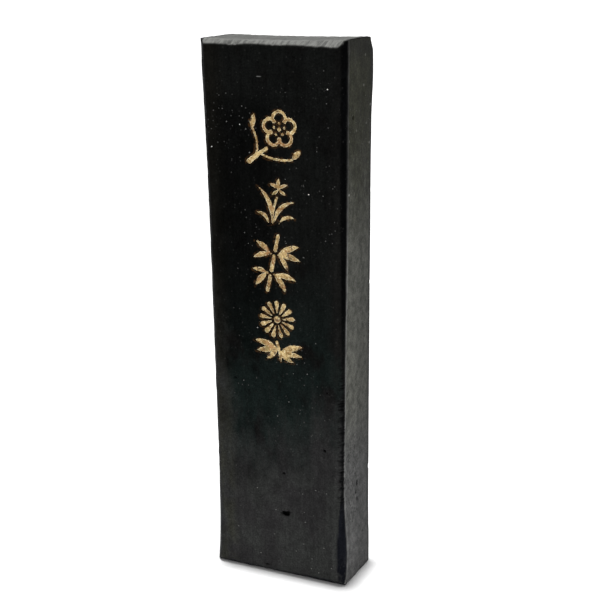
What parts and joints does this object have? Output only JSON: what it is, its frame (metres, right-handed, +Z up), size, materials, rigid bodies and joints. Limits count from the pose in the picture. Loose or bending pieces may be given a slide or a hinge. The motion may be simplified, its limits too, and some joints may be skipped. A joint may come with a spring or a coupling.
{
  "type": "ink stick",
  "caption": "Upright rectangular stick of solid black ink with bevelled broad faces and a column of gilded plant motifs recessed in its front.",
  "frame": {"origin": "centre of the foot, the lower end face that the stick stands on and is ground from", "axes": "+Z up along the stick's length, -Y out of the decorated front face, +X to the right as the front is seen"},
  "size_m": [0.0348, 0.016, 0.126],
  "materials": {
    "pressed_ink": "satin, polished dry soot and glue",
    "gold_pigment": "matte brushed gold powder paint"
  },
  "bodies": {
    "root": {"ink_block": "pressed_ink", "plum_petals_gilt": "gold_pigment", "plum_stamens_gilt": "gold_pigment", "plum_twig_gilt": "gold_pigment", "orchid_leaves_gilt": "gold_pigment", "orchid_flower_gilt": "gold_pigment", "bamboo_stalk_gilt": "gold_pigment", "bamboo_leaves_gilt": "gold_pigment", "chrysanthemum_petals_gilt": "gold_pigment", "chrysanthemum_heart_gilt": "gold_pigment", "chrysanthemum_leaves_gilt": "gold_pigment"}
  },
  "joints": []
}
